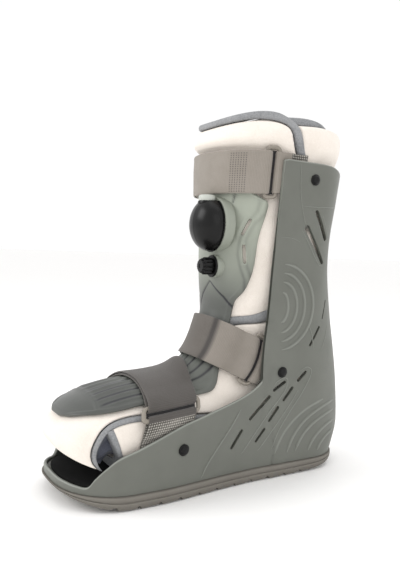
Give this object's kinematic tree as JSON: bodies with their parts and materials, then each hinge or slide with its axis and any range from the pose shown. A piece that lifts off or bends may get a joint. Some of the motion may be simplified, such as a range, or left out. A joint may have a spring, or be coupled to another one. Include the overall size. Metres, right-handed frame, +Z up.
{
  "type": "medical walking boot",
  "caption": "Tall walking boot with a rigid open-front shell on a rocker sole, padded sock, bent front plate with hand pump, and straps through wire rings.",
  "frame": {"origin": "on the ground under the centre of the boot's box", "axes": "+Z up the leg, toe towards -Y, heel towards +Y, the outer side with the rings towards +X"},
  "size_m": [0.1248, 0.2954, 0.3349],
  "materials": {
    "shell_plastic": "satin grey-green moulded plastic",
    "sole_rubber": "matt warm grey rubber",
    "insole_foam": "matt black cloth over foam",
    "liner_fabric": "off-white brushed loop cloth over foam",
    "binding_fabric": "mid grey knitted binding tape",
    "plate_plastic": "satin light grey-green moulded plastic",
    "strap_fabric": "taupe ribbed strap",
    "webbing_fabric": "speckled taupe woven webbing",
    "ring_plastic": "matt taupe moulded ring",
    "bulb_rubber": "satin black rubber",
    "valve_plastic": "light grey moulded plastic",
    "black_plastic": "satin black moulded plastic"
  },
  "bodies": {
    "boot": {"shell": "shell_plastic", "outsole": "sole_rubber", "insole": "insole_foam", "liner_sock": "liner_fabric", "calf_flap": "liner_fabric", "toe_flap": "liner_fabric", "binding_calf_flap": "binding_fabric", "binding_calf_hem": "binding_fabric", "binding_sock_rim": "binding_fabric", "binding_toe_flap_near": "binding_fabric", "binding_toe_flap_far": "binding_fabric", "front_plate": "plate_plastic", "pump_bulb": "bulb_rubber", "bulb_valve": "valve_plastic", "valve_stem": "black_plastic", "strap_calf": "strap_fabric", "ring_calf": "ring_plastic", "webbing_calf": "webbing_fabric", "strap_ankle": "strap_fabric", "ring_ankle": "ring_plastic", "webbing_ankle": "webbing_fabric", "strap_toe": "strap_fabric", "ring_toe": "ring_plastic", "webbing_toe": "webbing_fabric", "rivet_calf_near": "black_plastic", "rivet_calf_far": "black_plastic", "rivet_ankle_near": "black_plastic", "rivet_ankle_far": "black_plastic", "rivet_toe_near": "black_plastic", "rivet_toe_far": "black_plastic"},
    "release_knob": {"release_knob": "black_plastic"}
  },
  "joints": [
    {"name": "valve_turn", "type": "hinge", "parent": "boot", "child": "release_knob", "pos_m": [0.013, -0.0122, 0.19175], "axis": [0, -1, 0], "range_deg": [0, 270]}
  ]
}
